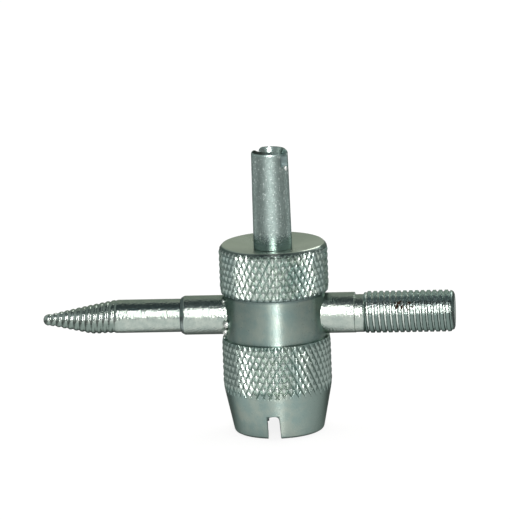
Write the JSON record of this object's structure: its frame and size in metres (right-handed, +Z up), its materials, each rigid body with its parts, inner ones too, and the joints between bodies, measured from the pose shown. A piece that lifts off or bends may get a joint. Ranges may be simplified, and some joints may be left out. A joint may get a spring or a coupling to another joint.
{
  "type": "valve thread chaser",
  "caption": "Four-way tyre valve hand tool: knurled body with a slotted thread die in its nose, a slotted valve-core driver on top, and a thread tap and tapered extractor as arms.",
  "frame": {"origin": "centre of the die's mouth, in the plane of the die face on which the tool stands", "axes": "+Z up the body's axis to the core driver, +X along the tap, -X along the extractor, the chip slot within 5 degrees of Y"},
  "size_m": [0.0493, 0.013, 0.0341],
  "materials": {
    "body_plating": "zinc plated, satin, knurled and turned",
    "driver_plating": "zinc plated, satin, lightly pitted",
    "arm_plating": "zinc plated, semi-bright"
  },
  "bodies": {
    "root": {"turned_body": "body_plating", "core_driver": "driver_plating", "extractor_arm": "arm_plating", "tap_arm": "arm_plating"}
  },
  "joints": []
}
